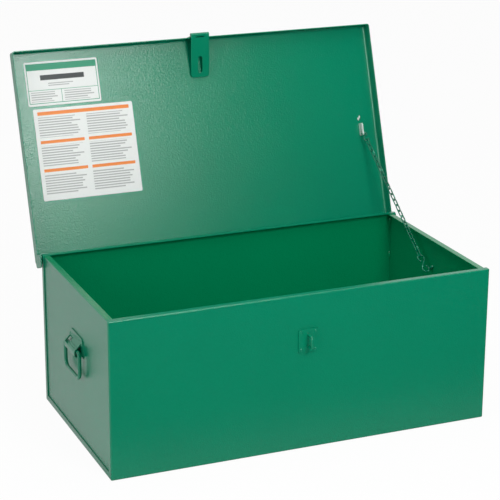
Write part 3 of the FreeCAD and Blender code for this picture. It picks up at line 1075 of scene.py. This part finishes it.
@dataclass
class Chain:
    """The chain stay: the ear on the lid, two hooks and five runs of welded oval links."""

    group_sizes: tuple[int, ...] = (4, 4, 4, 4, 5)
    first_of_second: int = 8
    wire_radius: float = 1.2
    link_width: float = 9.6
    play: float = 0.7
    roll: float = -13.6
    weld_swell: float = 1.32
    tab_low: Triple = (345.0, -3.5, 290.2)
    tab_high: Triple = (348.2, 22.0, 305.2)
    tab_hole: Pair = (16.0, 294.8)
    tab_bore: float = 3.0
    tab_round: float = 3.6
    tab_welds: tuple[Pair, ...] = ((-1.6, 9.5), (1.4, 13.5))
    tab_weld_height: float = 304.0
    tab_weld_half: Triple = (1.6, 3.4, 1.9)
    tab_edge: float = 0.5
    bore_length: float = 20.0
    weld_levels: tuple[float, ...] = (0.36, 0.46, 0.54, 0.64)
    weld_reach: float = 0.06

    @staticmethod
    def joint_place(name: str) -> Vector:
        """Give a joint's place in millimetres."""
        found = next(joint for joint in frame["joints"] if joint["name"] == name)
        return Vector(found["pos_m"]) / MM

    def way(self) -> Vector:
        """Give the taut chain's direction, from the lid to the end panel."""
        return (self.joint_place("chain_5_turn") - self.joint_place("chain_1_turn")).normalized()

    def pitch(self) -> float:
        """Give the distance from link to link, in millimetres."""
        run = self.joint_place("chain_3_turn") - self.joint_place("chain_2_turn")
        return run.length / self.group_sizes[2]

    def link(self) -> Object:
        """Bend one oval link in the XZ plane, its upper end at the origin, with a butt weld.

        Returns:
            The link, its length down Z.
        """
        bend_radius = self.link_width / 2 - self.wire_radius
        middle = bend_radius + self.wire_radius
        length = self.pitch() + self.play + 4 * self.wire_radius
        straight = length - 2 * middle
        deselect_all()
        bpy.ops.mesh.primitive_torus_add(
            major_segments=28, minor_segments=12, major_radius=bend_radius * MM,
            minor_radius=self.wire_radius * MM, rotation=(math.pi / 2, 0, 0),
            location=(0, 0, middle * MM))
        link = named("link")
        split(link, lambda c: True, (0, 0, middle), ALONG_Z)
        shift(link, lambda c: c.z > middle + SLACK, (0, 0, straight))
        for level in self.weld_levels:
            split(link, lambda c: True, (0, 0, middle + straight * level), ALONG_Z)
        pick(link, Pick.VERT, lambda c: c.x > 0
             and near(c.z, middle + straight / 2, straight * self.weld_reach))
        bpy.ops.transform.resize(value=(self.weld_swell, self.weld_swell, 1.0))
        done()
        outward(link)
        smooth(link)
        return link

    def placed(self, along: float, roll: float) -> Matrix:
        """Find a link's place and turn.

        Args:
            along: Millimetres down the chain from the second run's joint.
            roll: Degrees about the chain.

        Returns:
            The matrix that sets the link there.
        """
        way = self.way()
        side = (Vector((1, 0, 0)) - way * way.x).normalized()
        normal = way.cross(side)
        turned = math.radians(roll)
        across = side * math.cos(turned) + normal * math.sin(turned)
        columns = Matrix((across, way.cross(across), way)).transposed().to_4x4()
        pivot = self.joint_place("chain_2_turn") * MM
        columns.translation = pivot + way * along * MM
        return columns

    def links(self, paint: Material) -> None:
        """Hang the links in their five runs and set each run on its body.

        Args:
            paint: The chain's enamel.
        """
        master = self.link()
        seat = 3 * self.wire_radius + self.play
        index = 0
        for group, size in enumerate(self.group_sizes, start=1):
            run = []
            for _ in range(size):
                along = (index - self.first_of_second) * self.pitch() - seat
                # Each link hangs square to the one before.
                roll = self.roll + 90.0 * ((index + 1) % 2)
                run.append(copied(master, "link_%02d" % index, self.placed(along, roll)))
                index += 1
            # The first two runs hang from the top hook as one body.
            node = "chain_links_%d" % group
            body = "chain_%d" % max(1, group - 1)
            fit(joined(run, node + "_welded"), body, "enamel", paint, node)
        bpy.data.objects.remove(master)

    def tab(self, lid: Lid) -> Object:
        """Cut the ear that stands on the lid, bore it for the hook and turn it open.

        Args:
            lid: The lid, for its opening turn.

        Returns:
            The ear with the weld at its upper end.
        """
        tab = block("chain_ear", self.tab_low, self.tab_high)
        pick(tab, Pick.EDGE, lambda c: near(c.z, self.tab_low[2])
             and (near(c.y, self.tab_low[1]) or near(c.y, self.tab_high[1])))
        bend(self.tab_round, steps=5)
        done()
        middle = (self.tab_low[0] + self.tab_high[0]) / 2
        deselect_all()
        bpy.ops.mesh.primitive_cylinder_add(
            vertices=32, radius=self.tab_bore * MM, depth=self.bore_length * MM,
            rotation=(0, math.pi / 2, 0), location=Vector((middle, *self.tab_hole)) * MM)
        subtract(tab, named("bore"))
        soften(tab, self.tab_edge)
        beads = [bead("ear_weld", Vector((middle + aside, self.tab_low[1] - drop,
                                          self.tab_weld_height)), self.tab_weld_half, seed)
                 for seed, (aside, drop) in enumerate(self.tab_welds)]
        whole = joined([tab, *beads], "chain_ear_welded")
        whole.data.transform(lid.opened())
        return whole

    def build(self, paint: Material, bright: Material) -> None:
        """Make the links and the ear, and dress the hooks.

        Args:
            paint: The chain's enamel.
            bright: The ear's pale enamel, whose light colour is a painted reflection.
        """
        self.links(paint)
        for node in ("chain_top_hook", "chain_s_hook"):
            dress_node(node, paint)
        fit(self.tab(Lid()), "lid", "enamel", bright, "chain_lid_tab")


# The set
@dataclass
class Softbox:
    """One large soft lamp."""

    name: str
    place: Triple
    aim: Triple
    width: float
    height: float
    watts: float

    def build(self) -> None:
        """Hang the lamp and turn it to its aim."""
        lamp = bpy.data.lights.new(self.name, "AREA")
        lamp.shape = "RECTANGLE"
        lamp.size, lamp.size_y = self.width, self.height
        lamp.energy = self.watts
        obj = bpy.data.objects.new(self.name, lamp)
        obj.location = self.place
        way = Vector(self.aim) - Vector(self.place)
        obj.rotation_euler = way.to_track_quat("-Z", "Y").to_euler()
        obj.visible_camera = False
        bpy.context.scene.collection.objects.link(obj)


@dataclass
class Studio:
    """Floor, world, lamps and camera, whose three angles are in radians."""

    azimuth: float = -0.39863
    elevation: float = 0.31843
    roll: float = 0.00479
    eye: Triple = (-1.2809, -2.9762, 1.3960)
    lens: float = 128.32
    sensor: float = 36.0
    clip: Pair = (0.05, 60.0)
    ambient: float = 0.25
    gloss_front: float = 0.0
    gloss_rear: float = 0.95
    gloss_turn: Pair = (-0.6, 0.5)
    floor_colour: Rgb = (0.86, 0.86, 0.86)
    floor_size: float = 40.0
    floor_drop: float = 0.0005
    floor_seen: float = 0.96
    floor_gloss: float = 0.7
    floor_rear: Pair = (-0.42, -0.06)
    floor_left: Pair = (-0.40, -0.37)
    lamps: tuple[Softbox, ...] = (
        Softbox("key", (0.12, -1.65, 1.56), (-0.2, 0.3, 0.5), 0.7, 0.9, 24.0),
        Softbox("fill", (-3.2, -1.0, 1.5), (0.0, 0.0, 0.25), 1.6, 1.6, 26.0),
        Softbox("overhead", (0.0, -0.2, 2.6), (0.0, 0.0, 0.2), 2.2, 1.8, 19.0),
    )

    def camera(self) -> None:
        """Set the camera at the photograph's place."""
        turn, rise, roll = self.azimuth, self.elevation, self.roll
        back = Vector((math.sin(turn) * math.cos(rise), -math.cos(turn) * math.cos(rise),
                       math.sin(rise)))
        right = Vector((math.cos(turn), math.sin(turn), 0))
        up = back.cross(right)
        turned_right = right * math.cos(roll) + up * math.sin(roll)
        turned_up = up * math.cos(roll) - right * math.sin(roll)
        lens = bpy.data.cameras.new("camera")
        lens.lens, lens.sensor_width = self.lens, self.sensor
        lens.clip_start, lens.clip_end = self.clip
        obj = bpy.data.objects.new("camera", lens)
        matrix = Matrix((turned_right, turned_up, back)).transposed().to_4x4()
        matrix.translation = Vector(self.eye)
        obj.matrix_world = matrix
        bpy.context.scene.collection.objects.link(obj)
        bpy.context.scene.camera = obj

    def floor(self) -> None:
        """Lay a white floor that keeps the chest's shadow and is dim in front for gloss."""
        deselect_all()
        bpy.ops.mesh.primitive_plane_add(size=self.floor_size, location=(0, 0, -self.floor_drop))
        floor = named("studio_floor")
        graph = Graph(bpy.data.materials.new("studio_white"))
        graph.shade(Base_Color=self.floor_colour, Roughness=0.9)
        x, y, _ = graph.axes()
        rear = graph.spread(y, 0.0, self.floor_gloss, *self.floor_rear)
        left = graph.spread(x, self.floor_gloss, 0.0, *self.floor_left)
        path = graph.node("ShaderNodeLightPath").outputs
        glow = graph.node("ShaderNodeEmission", {"Color": WHITE})
        glossy = graph.node("ShaderNodeEmission", {
            "Color": WHITE, "Strength": graph.math("MAXIMUM", rear, left)})
        seen = graph.math("MAXIMUM", path["Is Camera Ray"], path["Is Transmission Ray"])
        shown = graph.node("ShaderNodeMixShader", {
            0: graph.math("MULTIPLY", seen, self.floor_seen),
            1: graph.shader.outputs[0], 2: glow.outputs[0]})
        whole = graph.node("ShaderNodeMixShader", {
            0: path["Is Glossy Ray"], 1: shown.outputs[0], 2: glossy.outputs[0]})
        graph.feed(graph.tree.nodes["Material Output"].inputs["Surface"], whole.outputs[0])
        dress(floor, graph.owner)

    def world(self) -> None:
        """Surround the set with soft light: white where seen, and for gloss white behind."""
        world = bpy.data.worlds.new("studio_world")
        bpy.context.scene.world = world
        graph = Graph(world, "Background")
        path = graph.node("ShaderNodeLightPath").outputs
        _, y, _ = graph.axes("Generated")
        rear = graph.spread(y, self.gloss_front, self.gloss_rear, *self.gloss_turn)
        level = self.ambient
        for ray, strength in (("Is Glossy Ray", rear), ("Is Transmission Ray", 1.0),
                              ("Is Camera Ray", 1.0)):
            level = graph.node("ShaderNodeMix", {0: path[ray], 2: level, 3: strength}).outputs[0]
        graph.shade(Color=WHITE, Strength=level)

    def build(self) -> None:
        """Build the whole set."""
        self.camera()
        self.floor()
        self.world()
        for lamp in self.lamps:
            lamp.build()
        bpy.context.scene.view_settings.view_transform = "Standard"


def main() -> None:
    """Build every sub-assembly in order, then the set."""
    # The chest's enamel has a painted light tone inside its hollow.
    chest = Enamel("green_enamel_chest", hollow=(0.3780, 0.2023, 0.3035)).material()
    paint = Enamel("green_enamel").material()
    small = Enamel("green_enamel_hardware", peel=0.5, roughness=0.18).material()
    # The ear's pale colour is a painted reflection of its flat face shining at a grazing angle,
    # and on its welds a painted sparkle.
    bright = Enamel("thin_light_enamel", colour=(0.62, 0.72, 0.67), scuff_and_glint_colour=(0.7, 0.72, 0.7),
                    peel=0.3, roughness=0.2).material()
    # The chain's dark base colour is painted shade, and its dense light specks are painted
    # glints.
    chained = Enamel("green_enamel_chain", colour=(0.0, 0.15, 0.08), scuff_and_glint_colour=(0.22, 0.85, 0.60),
                     peel=0.3, roughness=0.14, scuff_and_glint_scale=130.0, scuff_and_glint_most=0.75,
                     scuff_and_glint_start=0.58).material()
    steel = BareSteel("bare_steel").material()
    ChestBody().build(chest)
    Lid().build(paint)
    Hardware().build(small, steel)
    Chain().build(chained, bright)
    Studio().build()
    for node, obj in frame["nodes"].items():
        if not obj.material_slots or obj.material_slots[0].material is None:
            log.warning("node %s has no material", node)


if __name__ == "__main__":
    logging.basicConfig(level=logging.INFO, format="%(message)s")
    main()
